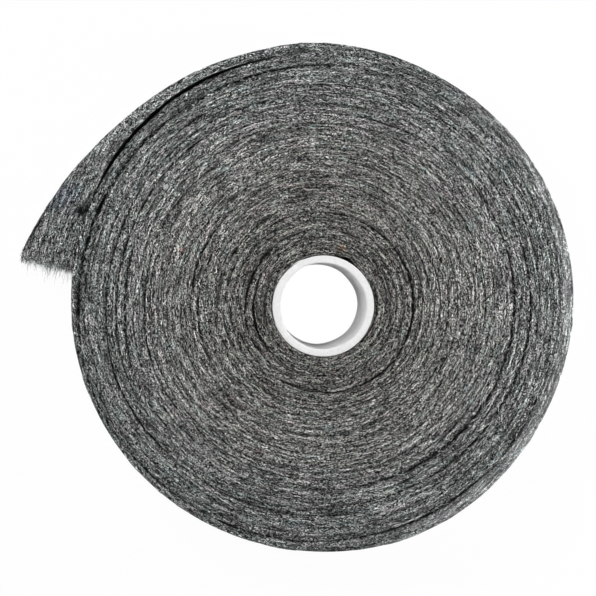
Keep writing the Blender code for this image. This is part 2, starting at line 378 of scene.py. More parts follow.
def end_height(turns, across, side):
    """The height of the roll's upper end, or of the lower, which is a little flatter."""
    down = sunk(turns, across)
    if side == UPPER:
        return ROLL_HEIGHT - down
    tail = TAIL_DROP * along_tail(turns) ** TAIL_FLARE
    return np.clip((down - tail) * 0.9 - 0.0005, 0.0002, None)


def wall_bulge(height, angle):
    """How far the round wall stands out."""
    swell = WALL_SWELL * (1 - ((2 * height / ROLL_HEIGHT) - 1) ** 4)
    return swell + WALL_LUMPS * grain(angle * 22 + 200, 12 - height * 90, 31) - WALL_SET_BACK


# Meshes

def placed(name, data):
    thing = bpy.data.objects.new(name, data)
    bpy.context.scene.collection.objects.link(thing)
    return thing


def piece_of(name, points, shades, runs, corners, totals, spots, smooth, material):
    """A piece of wool from its points, its faces and its map.

    shades are how much painted shade each point takes from the creases and the slit, and runs how far along
    its fibre. corners are those of all faces in a row, and totals how many each face has.
    """
    mesh = bpy.data.meshes.new(name)
    mesh.vertices.add(len(points))
    mesh.vertices.foreach_set("co", np.asarray(points, np.float32).ravel())
    mesh.loops.add(len(corners))
    mesh.loops.foreach_set("vertex_index", np.asarray(corners, np.int32))
    starts = np.concatenate([[0], np.cumsum(totals)[:-1]])
    mesh.polygons.add(len(totals))
    mesh.polygons.foreach_set("loop_start", starts.astype(np.int32))
    mesh.polygons.foreach_set("loop_total", np.asarray(totals, np.int32))
    mesh.polygons.foreach_set("use_smooth", np.full(len(totals), smooth))
    layer = mesh.uv_layers.new(name="OFBake")
    layer.uv.foreach_set("vector", np.asarray(spots, np.float32).ravel())
    for label, values in (("in_crease", shades), ("run", runs)):
        layer = mesh.attributes.new(label, "FLOAT", "POINT")
        layer.data.foreach_set("value", np.asarray(values, np.float32))
    mesh.update(calc_edges=True)
    mesh.materials.append(material)
    piece = placed(name, mesh)
    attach(piece, "root")
    return piece


def quads(row, other):
    """Faces between two rows of vertex numbers of the same length."""
    return np.stack([row[:-1], row[1:], other[1:], other[:-1]], axis=1)


ACROSS = np.array((0, 0.05, 0.1, 0.17, 0.27, 0.39, 0.5, 0.61, 0.73, 0.83, 0.9, 0.95, 1))
TURN_COLUMNS = 160
WALL_ROWS = 14
TAIL_COLUMNS = 72
MAP_MARGIN = 0.004
# The bore's and the round wall's bands of the map
BORE_BAND, WALL_BAND = (0.99, 0.90), (0.88, 0.52)
# Columns over which the wall's bulge starts
EASE_COLUMNS = 20


class Wound:
    """The mass of wool, as one closed mesh: the two ends, the bore and the round wall."""

    def __init__(self):
        self.points, self.shades, self.count = [], [], 0
        self.corners, self.totals, self.spots = [], [], []
        self.wound = round(WOUND * TURN_COLUMNS)
        self.covered = round(TURN_COLUMNS * TAIL_TURNS)
        tail = WOUND + TAIL_TURNS * np.linspace(0, 1, TAIL_COLUMNS + 1)[1:]
        self.stations = np.concatenate([np.arange(self.wound + 1) / TURN_COLUMNS, tail])
        upper, lower = self.end(UPPER), self.end(LOWER)
        self.bore(upper, lower)
        self.wall(upper, lower)

    def add(self, places, shade):
        """New points, as their numbers."""
        self.points.append(places)
        self.shades.append(np.broadcast_to(shade, len(places)))
        numbers = self.count + np.arange(len(places))
        self.count += len(places)
        return numbers

    def across(self, turns, across, side):
        """A row of points at one place across the ribbon."""
        x, y = plan(ribbon_radius(turns, across), bearing_at(turns, across))
        height = end_height(turns, across, side)
        return self.add(np.stack([x, y, height], axis=-1), in_crease(turns, across))

    def face(self, corners, spots):
        """New faces that all have as many corners, with their places on the map."""
        self.corners.append(np.ravel(corners))
        self.totals.append(np.full(len(corners), len(corners[0])))
        self.spots.append(np.reshape(spots, (-1, 2)))

    def flat_spots(self, numbers, side):
        """The roll's ends lie side by side on the map, as seen from above."""
        places = np.concatenate(self.points)[numbers]
        share = (places[..., :2] - np.array(WOOL_LOW)[:2]) / np.array(WOOL_HIGH - WOOL_LOW)[:2]
        share = np.clip(share, 0, 1) * (0.5 - 2 * MAP_MARGIN) + MAP_MARGIN
        share[..., 0] += 0.5 * (side == LOWER)
        return share

    def end(self, side):
        """One end of the roll, as all its rows of points and the creases alone."""
        at = np.arange(self.wound + TURN_COLUMNS + 1) / TURN_COLUMNS
        # The outermost crease is the wall's edge, and belongs to the turn inside it.
        own, far = at[: self.wound + 1], at[self.wound + 1 :] - 1
        crease = np.append(self.across(own, 0.0, side), self.across(far, 1.0, side))
        rows = [self.across(self.stations, across, side) for across in ACROSS[1:-1]]
        tail = self.stations[self.wound + 1 :]
        inside, outside = self.across(tail, 0.0, side), self.across(tail, 1.0, side)
        inner = np.concatenate([crease[: self.wound + 1], inside])
        outer = np.concatenate([crease[TURN_COLUMNS:], outside])
        rows = [inner, *rows, outer]
        for row, other in zip(rows, rows[1:]):
            made = quads(row, other)[:, :: -side]
            self.face(made, self.flat_spots(made, side))
        # The step at the ribbon's first end, and the ground before it
        step = np.array([[row[0] for row in rows]])[:, ::side]
        ground = np.array([[crease[TURN_COLUMNS - 1], rows[0][0], rows[-1][0]]])[:, ::side]
        for made in (step, ground):
            self.face(made, self.flat_spots(made, side))
        return rows, crease

    def strip(self, row, other, high, low, turned):
        """Faces between two rows down a wall, laid out on the map between two heights."""
        made = quads(row, other)
        along = np.linspace(MAP_MARGIN, 1 - MAP_MARGIN, len(row))
        left, right = along[:-1], along[1:]
        across = np.stack([left, right, right, left], axis=1)
        up = np.broadcast_to((high, high, low, low), across.shape)
        spots = np.stack([across, up], axis=2)
        self.face(made[:, ::-1] if turned else made, spots[:, ::-1] if turned else spots)

    def bore(self, upper, lower):
        rings = [np.append(crease[:TURN_COLUMNS], crease[0]) for _, crease in (upper, lower)]
        self.strip(*rings, *BORE_BAND, False)

    def wall(self, upper, lower):
        """From the upper rim down, in one skin from the slit round to the tail's inside."""
        edges = []
        for rows, crease in (upper, lower):
            roll = crease[self.wound : self.wound + TURN_COLUMNS]
            outside, inside = rows[-1][self.wound :], rows[0][self.wound + 1 :]
            tip = [row[-1] for row in rows[1:-1]][::-1]
            edges.append(np.concatenate([roll, outside, tip, inside[::-1], roll[:1]]))
        places = np.concatenate(self.points)
        top, bottom = places[edges[0]], places[edges[1]]
        # The walls of the slit are painted dark: painted shade.
        slit = np.zeros(len(edges[0]))
        slit[: self.covered] = 1
        slit[-TAIL_COLUMNS - 1 :] = 1
        previous, low = edges[0], WALL_BAND[0]
        for share in 0.5 - 0.5 * np.cos(np.linspace(0, math.pi, WALL_ROWS + 1))[1:]:
            high, low = low, WALL_BAND[0] + (WALL_BAND[1] - WALL_BAND[0]) * share
            row = edges[1] if share == 1 else self.skin(top, bottom, share, slit)
            self.strip(previous, row, high, low, True)
            previous = row

    def skin(self, top, bottom, share, slit):
        """A row of points round the wall."""
        place = (top + (bottom - top) * share)[:-1]
        flat = place[:, :2] - ROLL_CENTRE
        radius = np.linalg.norm(flat, axis=1)
        angle = np.unwrap(np.arctan2(flat[:, 1], flat[:, 0])) - TURN
        out = wall_bulge(place[:, 2], angle)
        out[: self.covered] = 0
        out[self.covered : self.covered + EASE_COLUMNS] *= np.linspace(0, 1, EASE_COLUMNS)
        out[-TAIL_COLUMNS - len(ACROSS) :] = 0
        place[:, :2] += flat / radius[:, None] * out[:, None]
        numbers = self.add(place, slit[:-1])
        return np.append(numbers, numbers[0])


def wound_wool():
    made = Wound()
    corners, totals = np.concatenate(made.corners), np.concatenate(made.totals)
    spots, points, shades = (np.concatenate(parts) for parts in (made.spots, made.points, made.shades))
    runs = np.zeros(len(points))
    piece = piece_of("wound_wool", points, shades, runs, corners, totals, spots, True, matted_wool())
    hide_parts("steel_wool_ribbon")
    return piece


# The tube: its section, spun

BOARD_FACETS = 128
RIM_ROUNDING, OUTER_ROUNDING = 0.0011, 0.0004
CORNER_POINTS = 6


def board_section():
    """The section's points, with a quarter round at each corner, larger on the bore's rims."""
    inside, outside = BORE_RADIUS + RIM_ROUNDING, TUBE_RADIUS - OUTER_ROUNDING
    corners = (
        (inside, RIM_ROUNDING, RIM_ROUNDING),
        (outside, OUTER_ROUNDING, OUTER_ROUNDING),
        (outside, TUBE_HIGH.z - OUTER_ROUNDING, OUTER_ROUNDING),
        (inside, TUBE_HIGH.z - RIM_ROUNDING, RIM_ROUNDING),
    )
    section = []
    for quarter, (radius, level, rounding) in enumerate(corners, 2):
        for a in np.linspace(quarter, quarter + 1, CORNER_POINTS) * TURN / 4:
            section.append((radius + rounding * math.cos(a), level + rounding * math.sin(a)))
    return np.array(section)


def board_tube():
    section = board_section()
    count, ring = BOARD_FACETS, len(section)
    angle = np.arange(count) * TURN / count
    # The tube is a little out of round, and less so outside, where the wool grips it.
    outside = 0.004 * np.sin(2 * angle + 1.0) + 0.002 * np.sin(5 * angle + 0.6)
    inside = 0.007 * np.sin(3 * angle + 2.0) + 0.004 * np.sin(7 * angle + 0.4)
    is_inside = section[:, 0] < (BORE_RADIUS + TUBE_RADIUS) / 2
    wobble = 1 + np.where(is_inside[None], inside[:, None], outside[:, None])
    points = np.empty((count, ring, 3))
    points[..., 0] = TUBE_CENTRE[0] + section[None, :, 0] * np.cos(angle)[:, None] * wobble
    points[..., 1] = TUBE_CENTRE[1] + section[None, :, 0] * np.sin(angle)[:, None] * wobble
    points[..., 2] = section[None, :, 1]
    number = np.arange(count * ring).reshape(count, ring)
    beside, after = np.roll(number, -1, axis=0), np.roll(number, -1, axis=1)
    faces = np.stack([number, beside, np.roll(beside, -1, axis=1), after], axis=-1).reshape(-1, 4)
    mesh = bpy.data.meshes.new("board_tube")
    mesh.from_pydata(points.reshape(-1, 3).tolist(), [], faces.tolist())
    mesh.polygons.foreach_set("use_smooth", np.full(len(faces), True))
    mesh.materials.append(white_board())
    piece = placed("board_tube", mesh)
    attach(piece, "root")
    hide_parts("core_tube")


# Fibres. Each is a closed sliver with pointed ends: a flat kite when short, and three-sided when long. A
# path is the points along it, and its ways are where they lie, from -1 at one tip to 1 at the other.

SHORT_WAYS = (-1.0, 0.0, 1.0)
LONG_WAYS = (-1.0, -0.36, 0.36, 1.0)

# The corners of a short fibre's faces (tip, side, side, tip), and their places on its patch of the map
KITE_FACES = ((0, 2, 1), (3, 1, 2), (0, 1, 3), (0, 3, 2))
KITE_SPOTS = (
    ((0, 0.75), (0.5, 1), (0.5, 0.5)),
    ((1, 0.75), (0.5, 0.5), (0.5, 1)),
    ((0, 0.25), (0.5, 0.5), (1, 0.25)),
    ((0, 0.25), (1, 0.25), (0.5, 0)),
)


def sliver_faces(rings):
    """The corners of a long fibre's faces, and their places on its patch of the map."""
    last = 1 + 3 * rings
    corners, spots = [], []
    for k in range(3):
        beside = (k + 1) % 3
        low, high = k / 3, (k + 1) / 3
        corners.append((0, 1 + beside, 1 + k))
        spots.append(((0, (low + high) / 2), (1 / (rings + 1), high), (1 / (rings + 1), low)))
        corners.append((last, last - 3 + k, last - 3 + beside))
        spots.append(((1, (low + high) / 2), (rings / (rings + 1), low), (rings / (rings + 1), high)))
        for ring in range(rings - 1):
            near, far = (ring + 1) / (rings + 1), (ring + 2) / (rings + 1)
            start = 1 + 3 * ring
            corners.append((start + k, start + beside, start + 3 + beside, start + 3 + k))
            spots.append(((near, low), (near, high), (far, high), (far, low)))
    return corners, spots


def kite_points(paths, side, up, widths, roll):
    """A short fibre's points: a tip, two sides, and the other tip."""
    arm = np.cos(roll)[:, None] * side * 0.52 + np.sin(roll)[:, None] * up * 0.36
    tip, middle, far_tip = paths[:, 0], paths[:, 1], paths[:, 2]
    one, two = middle + arm * widths[:, None], middle - arm * widths[:, None]
    volume = np.sum(np.cross(one - tip, two - tip) * (far_tip - tip), axis=1)
    turned = (volume < 0)[:, None]
    return np.stack([tip, np.where(turned, two, one), np.where(turned, one, two), far_tip], axis=1)


def sliver_points(paths, side, up, widths, roll):
    """A long fibre's points: a tip, rings of three, and the other tip."""
    count, rings = len(paths), paths.shape[1] - 2
    points = np.empty((count, 3 * rings + 2, 3))
    points[:, 0], points[:, -1] = paths[:, 0], paths[:, -1]
    for ring in range(rings):
        for k in range(3):
            turn = roll + k * TURN / 3
            arm = np.cos(turn)[:, None] * side * 0.6 + np.sin(turn)[:, None] * up * 0.45
            points[:, 1 + 3 * ring + k] = paths[:, 1 + ring] + arm * widths[:, None]
    return points


def slivers(name, paths, shades, ups, widths, material, seed):
    """A piece made of many fibres. ups point out of the roll."""
    count, rings = len(paths), paths.shape[1] - 2
    ahead = paths[:, -1] - paths[:, 0]
    length = np.linalg.norm(ahead, axis=1)[:, None]
    ahead = ahead / length
    side = np.cross(ahead, ups)
    side /= np.maximum(np.linalg.norm(side, axis=1), 1e-9)[:, None]
    up = np.cross(side, ahead)
    rng = chance(seed)
    if rings == 1:
        points = kite_points(paths, side, up, widths, rng.uniform(-0.9, 0.9, count))
        repeats, corners, spots = [1, 2, 1], KITE_FACES, KITE_SPOTS
    else:
        points = sliver_points(paths, side, up, widths, rng.uniform(0, TURN, count))
        repeats = [1] + [3] * rings + [1]
        corners, spots = sliver_faces(rings)
    shade = np.repeat(shades, repeats, axis=1)
    run = np.linspace(0, 1, rings + 2) * length + rng.uniform(0, 20, count)[:, None]
    run = np.repeat(run, repeats, axis=1)
    flat = np.concatenate([np.ravel(c) for c in corners])
    numbers = flat[None] + (points.shape[1] * np.arange(count))[:, None]
    # Each fibre has a patch of its own on the map.
    patches = math.ceil(math.sqrt(count))
    patch = np.stack([np.arange(count) % patches, np.arange(count) // patches], axis=1)
    on_patch = np.concatenate([np.reshape(s, (-1, 2)) for s in spots]) * 0.7 + 0.15
    where = (patch[:, None] + on_patch[None]) / patches
    totals = np.tile([len(c) for c in corners], count)
    points = points.reshape(-1, 3)
    ends = numbers.ravel()
    return piece_of(name, points, shade.ravel(), run.ravel(), ends, totals, where, False, material)


def drawn(rng, count, lengths, widths, typical, wild):
    """Lengths, widths and headings: most turn a little off the ribbon's lie, and a wild share anyhow."""
    length, width = rng.uniform(*lengths, count), rng.uniform(*widths, count)
    usual = rng.normal(0, 1, count) * typical
    return length, width, np.where(rng.random(count) < wild, rng.uniform(-1.0, 1.0, count), usual)


def places_on_end(rng, count):
    """Places spread evenly over a roll's end, as turns and across."""
    far_out = np.sqrt(rng.uniform((WOOL_BORE + 0.001) ** 2, (ROLL_RADIUS + 0.002) ** 2, count))
    offset = (rng.uniform(0, 1, count) + WOUND) % 1
    whole = (far_out - WOOL_BORE - FIRST_THICKNESS) / PITCH + 0.5
    turns = np.clip(np.round(whole - offset) + offset, 0.02, WOUND - 0.002)
    return turns, rng.uniform(0.07, 0.93, count)


def end_fibres(name, side, count, ways, *sizes, seed, material):
    """Fibres on the roll's upper or lower end, which lie along the turns."""
    rng = chance(seed)
    turns, across = places_on_end(rng, count)
    tight = np.clip(ribbon_radius(turns, across) / 0.08, 0.55, 1)
    length, width, heading = drawn(rng, count, *sizes)
    return lay_on_end(name, side, turns, across, length * tight, width, heading, ways, seed + 1, material)


# How clear of the creases fibres keep, and the share that bridge one whatever their heading
CLEAR_OF_CREASE = 0.0002
BRIDGING = 0.05


def lay_on_end(name, side, turns, across, length, width, heading, ways, seed, material):
    """Fibres of given places, lengths and headings, on the upper or lower end."""
    rng = chance(seed)
    count = len(turns)
    radius = ribbon_radius(turns, across)
    inside, outside = inner_radius(turns), outer_radius(turns)
    thick = outside - inside
    lift = rng.uniform(-0.0001, 0.0003, count)
    crimp = rng.normal(0, 0.00007, (count, len(ways)))
    bridges = (np.abs(length * np.sin(heading)) > 0.6 * thick) | (rng.random(count) < BRIDGING)
    outermost = turns + 1 > WOUND
    paths = np.empty((count, len(ways), 3))
    shades = np.empty((count, len(ways)))
    for k, way in enumerate(ways):
        reach = way * length / 2
        here = turns + reach * np.cos(heading) / (radius * TURN)
        far_out = radius + reach * (np.sin(heading) + PITCH / (TURN * radius)) + crimp[:, k]
        # Fibres keep to their own turn, apart from those that bridge its creases.
        low = np.where(bridges & (turns <= WOUND), inside - PITCH, inside + CLEAR_OF_CREASE)
        high = np.where(bridges & ~outermost, outside + PITCH, outside - CLEAR_OF_CREASE)
        far_out = np.clip(far_out, low, high)
        over = np.where(bridges, 0.5, np.clip((far_out - inside) / thick, 0, 1))
        ground = end_height(np.clip(here, 0.01, WOUND + TAIL_TURNS), over, side)
        shades[:, k] = np.where(bridges, 0, in_crease(turns, over))
        x, y = plan(far_out, bearing_at(here, over))
        arched = (1 - abs(way)) * 0.00015
        paths[:, k] = np.stack([x, y, ground + side * (lift + arched)], axis=1)
    if side == LOWER:
        paths[:, :, 2] = np.clip(paths[:, :, 2], 0.0003, None)
    ups = np.tile((0.0, 0.0, float(side)), (count, 1))
    return slivers(name, paths, shades, ups, width, material, seed + 1)


def wall_fibres(name, count, ways, *sizes, seed, material):
    """Fibres round the outside of the roll, mostly along it."""
    rng = chance(seed)
    turns = rng.uniform(WOUND - 1 + 0.03, WOUND + TAIL_TURNS, count)
    height = rng.uniform(0.001, ROLL_HEIGHT - 0.001, count)
    length, width, heading = drawn(rng, count, *sizes)
    crimp = rng.normal(0, 0.00015, (count, len(ways)))
    lift = rng.uniform(-0.0002, 0.0003, count)
    paths = np.empty((count, len(ways), 3))
    for k, way in enumerate(ways):
        reach = way * length / 2
        here = turns + reach * np.cos(heading) / (ROLL_RADIUS * TURN)
        kept = np.minimum(here, WOUND + TAIL_TURNS)
        drop = TAIL_DROP * along_tail(kept) ** TAIL_FLARE
        level = np.clip(height + reach * np.sin(heading) + crimp[:, k], 0.0004, ROLL_HEIGHT - 0.0008)
        level = level * (1 - drop / ROLL_HEIGHT)
        to_rim = np.minimum(level, ROLL_HEIGHT - drop - level)
        out = wall_bulge(level, bearing(here)) + lift - 0.0012 * np.exp(-to_rim / 0.0012)
        x, y = plan(outer_radius(kept) + out, bearing_at(here, 1.0))
        paths[:, k] = np.stack([x, y, level], axis=1)
    angle = bearing(turns)
    ups = np.stack([np.cos(angle), np.sin(angle), np.zeros(count)], axis=1)
    return slivers(name, paths, np.zeros(paths.shape[:2]), ups, width, material, seed + 1)


def tail_fibres(name, side, count, seed, material):
    """Fibres on an edge of the loose end: matted at first, and combed along it at its end."""
    rng = chance(seed)
    along = rng.uniform(0, 1, count) ** 0.6
    turns = WOUND + TAIL_TURNS * along
    across = rng.uniform(0.02, 0.98, count)
    length = rng.uniform(0.004, 0.009, count)
    width = rng.uniform(0.00018, 0.00032, count)
    heading = rng.normal(0, 1, count) * (0.5 - 0.37 * ramp(along, 0.5, 0.8))
    return lay_on_end(name, side, turns, across, length, width, heading, SHORT_WAYS, seed + 1, material)


def frayed_end(name, count, seed, material):
    """Loose fibres that stick out of the ribbon's cut end."""
    rng = chance(seed)
    back = rng.uniform(0.0005, 0.005, count)
    turns = WOUND + TAIL_TURNS - back / (ROLL_RADIUS * TURN)
    across = rng.uniform(0.01, 0.99, count)
    drop = TAIL_DROP * along_tail(turns) ** TAIL_FLARE
    share = 1 - 0.99 * rng.uniform(0, 1, count) ** 2.5
    height = share * (ROLL_HEIGHT - drop - 0.002)
    # Some tufts reach further than others.
    tuft = 1 + 0.6 * grain(across * 7, share * 5, seed + 2)
    length = back + (0.0003 + rng.exponential(0.0017, count)) * tuft
    width = rng.uniform(0.00008, 0.00018, count)
    ahead = bearing(turns) + math.pi / 2 + rng.normal(0, 0.14, count)
    tilt = rng.normal(0, 0.10, count)
    crimp = rng.normal(0, 0.0003, (count, len(LONG_WAYS), 3))
    x, y = plan(ribbon_radius(turns, across), bearing_at(turns, across))
    start = np.stack([x, y, height], axis=1)
    heading = np.stack([np.cos(ahead), np.sin(ahead), tilt], axis=1)
    paths = np.empty((count, len(LONG_WAYS), 3))
    for k, way in enumerate(LONG_WAYS):
        reach = (way + 1) / 2
        paths[:, k] = start + heading * (reach * length)[:, None] + crimp[:, k] * reach
    paths[:, :, 2] = np.clip(paths[:, :, 2], 0.0004, ROLL_HEIGHT)
    ups = np.tile((0.0, 0.0, 1.0), (count, 1))
    return slivers(name, paths, np.zeros(paths.shape[:2]), ups, width, material, seed + 1)


# Finishes

def wired(operation):
    return lambda one, other: one.maths(operation, one, other)


class Wire:
    """A node's output. Arithmetic on it adds Math nodes."""

    def __init__(self, finish, socket):
        self.finish, self.socket = finish, socket

    def maths(self, operation, *values):
        return self.finish.node("ShaderNodeMath", {"operation": operation}, dict(enumerate(values)))

    def part(self, k):
        return self.finish.node("ShaderNodeSeparateXYZ", None, {0: self}, k)

    def __rsub__(self, other):
        return self.maths("SUBTRACT", other, self)

    __add__, __sub__, __mul__ = wired("ADD"), wired("SUBTRACT"), wired("MULTIPLY")
    __truediv__, __pow__ = wired("DIVIDE"), wired("POWER")
    __radd__, __rmul__ = __add__, __mul__


class Finish:
    """A material with one Principled shader, and the nodes that feed it."""

    def __init__(self, name, **constants):
        self.material = bpy.data.materials.new(name)
        self.material.use_nodes = True
        self.nodes = self.material.node_tree.nodes
        self.links = self.material.node_tree.links
        self.shader = self.nodes["Principled BSDF"]
        for socket, value in constants.items():
            self.shader.inputs[socket.replace("_", " ")].default_value = value

    def node(self, kind, settings=None, inputs=None, output=0):
        """Adds a node: its settings first, then the values or links of its sockets."""
        made = self.nodes.new(kind)
        for name, value in (settings or {}).items():
            if name == "stops":
                self.set_stops(made.color_ramp, value)
            else:
                setattr(made, name, value)
        for socket, value in (inputs or {}).items():
            self.feed(made.inputs[socket], value)
        return Wire(self, made.outputs[output])

    def feed(self, socket, value):
        if isinstance(value, Wire):
            self.links.new(value.socket, socket)
        else:
            socket.default_value = value

    def set_stops(self, band, stops):
        """A stop's colour may be one number, for a grey."""
        while len(band.elements) < len(stops):
            band.elements.new(0.5)
        for element, (position, colour) in zip(band.elements, stops):
            colour = colour if isinstance(colour, tuple) else (colour, colour, colour)
            element.position, element.color = position, (*colour, 1)

    def to_shader(self, socket, wire):
        self.links.new(wire.socket, self.shader.inputs[socket])

    def place(self):
        """Where a point lies from the roll's axis: right, back, how far off, and how high."""
        spot = self.node("ShaderNodeNewGeometry", output="Position")
        centre = (*ROLL_CENTRE, 0)
        spot = self.node("ShaderNodeVectorMath", {"operation": "SUBTRACT"}, {0: spot, 1: centre})
        x, y, z = (spot.part(k) for k in range(3))
        return x, y, (x * x + y * y) ** 0.5, z

    def noise(self, vector, detail=2.0, roughness=0.5):
        inputs = {"Vector": vector, "Scale": 1.0, "Detail": detail, "Roughness": roughness}
        return self.node("ShaderNodeTexNoise", None, inputs)

    def vector(self, x, y, z):
        return self.node("ShaderNodeCombineXYZ", None, {0: x, 1: y, 2: z})

    def band(self, wire, *stops):
        return self.node("ShaderNodeValToRGB", {"stops": stops}, {0: wire})

    def mix(self, kind, amount, first, second):
        settings = {"data_type": "RGBA", "blend_type": kind}
        return self.node("ShaderNodeMix", settings, {0: amount, 6: first, 7: second}, 2)

    def attribute(self, name):
        return self.node("ShaderNodeAttribute", {"attribute_name": name}, output="Fac")

    def times(self, first, second):
        return self.mix("MULTIPLY", 1.0, first, second)

    def relief(self, strength, distance, height):
        inputs = {"Strength": strength, "Distance": distance, "Height": height}
        self.to_shader("Normal", self.node("ShaderNodeBump", None, inputs))


def streaks(finish, along, across, detail=3.0, shift=0.0):
    """Noise drawn out along the turns: along and across are a streak's length and width."""
    x, y, radius, height = finish.place()
    sway = finish.noise(finish.vector(x / 0.004, y / 0.004, height / 0.004), 1.0) * 0.0007
    both = (radius + height * 0.9 + sway) / across + shift
    return finish.noise(finish.vector(x / along, y / along, both), detail, 0.6)


def flecks(finish, along, across):
    """Chance brightness, cell by cell: painted glitter of crossing fibres."""
    x, y, radius, height = finish.place()
    spot = finish.vector(x / along, y / along, (radius + height * 0.9) / across)
    cells = finish.node("ShaderNodeTexVoronoi", None, {"Vector": spot, "Scale": 1.0}, "Color")
    return cells.part(0)


# Faint brown stains, and a bluish one on the loose end: how far right and back of the axis, reach, tint
STAINS = (
    (0.0128, 0.0310, 0.0028, (1.45, 1.05, 0.88)),
    (-0.0829, 0.0298, 0.0022, (1.45, 1.05, 0.88)),
    (-0.1545, 0.0620, 0.0150, (0.72, 0.76, 0.86)),
)
STAIN_DEPTH = 0.03
# Painted light on the outer turn's paler side: the way it faces, its grey veil and how much that covers, the
# gain, the depth
PAINTED_LIGHT_SIDE = (0.966, -0.259)
PAINTED_LIGHT_GREY = (0.40, 0.405, 0.41, 1)
PAINTED_LIGHT_SHARE = 0.22
PAINTED_LIGHT_GAIN = 1.38
PAINTED_LIGHT_DEPTH = 0.012


def tint(finish, grey):
    """Drifts of green, blue and brown over the grey, a colder outside, stains, painted light on one side."""
    x, y, radius, height = finish.place()
    drift = finish.noise(finish.vector(x / 0.012, y / 0.012, radius / 0.004 + height / 0.016), 2.0)
    shade = finish.band(
        drift,
        (0.28, (0.90, 1.0, 1.03)),
        (0.43, (0.98, 1.0, 0.96)),
        (0.57, (1.0, 0.985, 1.01)),
        (0.72, (1.06, 0.97, 0.98)),
    )
    cold = finish.band(
        radius / ROLL_RADIUS,
        (0.28, (0.72, 0.71, 0.68)),
        (0.50, (0.94, 0.94, 0.91)),
        (0.66, (1.0, 1.01, 0.99)),
        (0.84, (0.96, 1.0, 0.99)),
        (0.98, (0.80, 0.84, 0.84)),
    )
    colour = finish.times(finish.times(grey, shade), cold)
    below = ROLL_HEIGHT - height
    for far_right, far_back, reach, stain in STAINS:
        dx, dy = x - far_right, y - far_back
        near = (dx * dx + dy * dy) ** 0.5 / reach + (drift - 0.5) * 1.2 + below / STAIN_DEPTH
        stained = finish.band(near, (0.35, stain), (1.0, 1))
        colour = finish.times(colour, stained)
    # Painted light: the paler side of the outer turn
    side = (x * PAINTED_LIGHT_SIDE[0] + y * PAINTED_LIGHT_SIDE[1]) / radius
    side = finish.band(side + (drift - 0.5) * 0.4, (0.35, 0), (0.80, 1))
    outer_turn = finish.band(radius / ROLL_RADIUS, (0.945, 0), (0.980, 1))
    upper = finish.band(below / PAINTED_LIGHT_DEPTH, (0.2, 1), (1.0, 0))
    share = side * outer_turn * upper
    colour = finish.mix("MIX", share * PAINTED_LIGHT_SHARE, colour, PAINTED_LIGHT_GREY)
    return finish.mix("MULTIPLY", share, colour, (PAINTED_LIGHT_GAIN, PAINTED_LIGHT_GAIN, PAINTED_LIGHT_GAIN, 1))


def creased(finish, colour):
    """Painted shade in the creases, the slit and the pits, whose edges are ragged with fibres."""
    depth = finish.attribute("in_crease")
    broken = streaks(finish, 0.0055, 0.0008, 2.0, 17.0) + streaks(finish, 0.0018, 0.0005, 1.0, 23.0)
    ragged = depth * 1.3 + (broken - 1.0) * 1.9
    bottom = finish.band(ragged, (0.27, 0), (0.85, 0.96))
    long_streaks = streaks(finish, 0.022, 0.0010, 2.0, 29.0)
    pale = finish.band(long_streaks, (0.37, 0.42), (0.5, 0.92), (0.63, 1.4))
    colour = finish.times(colour, pale)
    return finish.mix("MIX", bottom, colour, (0.005, 0.005, 0.005, 1))


def matted_wool():
    """The mass under the fibres: darker, as painted shade beneath them, with the same streaks in colour and
    surface.
    """
    finish = Finish("matted_wool", Metallic=0.3, Roughness=0.6, Specular_IOR_Level=0.1)
    fine = streaks(finish, 0.0045, 0.0005) * 1.2 - 0.5 + flecks(finish, 0.0009, 0.0005) * 0.9
    grey = finish.band(
        fine,
        (0.26, 0.001),
        (0.50, (0.018, 0.0185, 0.018)),
        (0.68, (0.125, 0.126, 0.125)),
        (0.88, (0.62, 0.62, 0.61)),
    )
    # Fewer fibres cover the round wall; its mass is painted paler where it faces sideways, as painted light.
    facing = finish.node("ShaderNodeNewGeometry", output="Normal")
    upward = facing.part(2)
    upward = upward.maths("ABSOLUTE", upward)
    painted_wall_light = finish.band(upward, (0.3, 1.8), (0.8, 1))
    grey = finish.times(grey, painted_wall_light)
    finish.to_shader("Base Color", creased(finish, tint(finish, grey)))
    finish.relief(0.9, 0.0006, streaks(finish, 0.002, 0.0005, 2.0, 7.0))
    return finish.material


def bare_fibre(name, lift):
    """Shavings of steel, each of its own brightness, with painted glints and dark breaks along it."""
    finish = Finish(name, Metallic=0.4, Roughness=0.45, Specular_IOR_Level=0.1)
    each = finish.node("ShaderNodeNewGeometry", output="Random Per Island")
    run = finish.attribute("run")
    breaks = {"W": run / 0.0009, "Scale": 1.0, "Detail": 1.0, "Roughness": 0.6}
    breaks = finish.node("ShaderNodeTexNoise", {"noise_dimensions": "1D"}, breaks)
    # Painted glints: each fibre's brightness, flecks and breaks go into the colour; lift paints the whole
    # finish paler.
    glint = each * 0.46 + flecks(finish, 0.0005, 0.0005) * 0.60 + breaks * 0.55 - 0.305 + lift
    grey = finish.band(
        glint,
        (0.30, 0.001),
        (0.46, (0.016, 0.0163, 0.016)),
        (0.59, (0.175, 0.177, 0.175)),
        (0.76, (0.90, 0.90, 0.89)),
    )
    finish.to_shader("Base Color", creased(finish, tint(finish, grey)))
    return finish.material


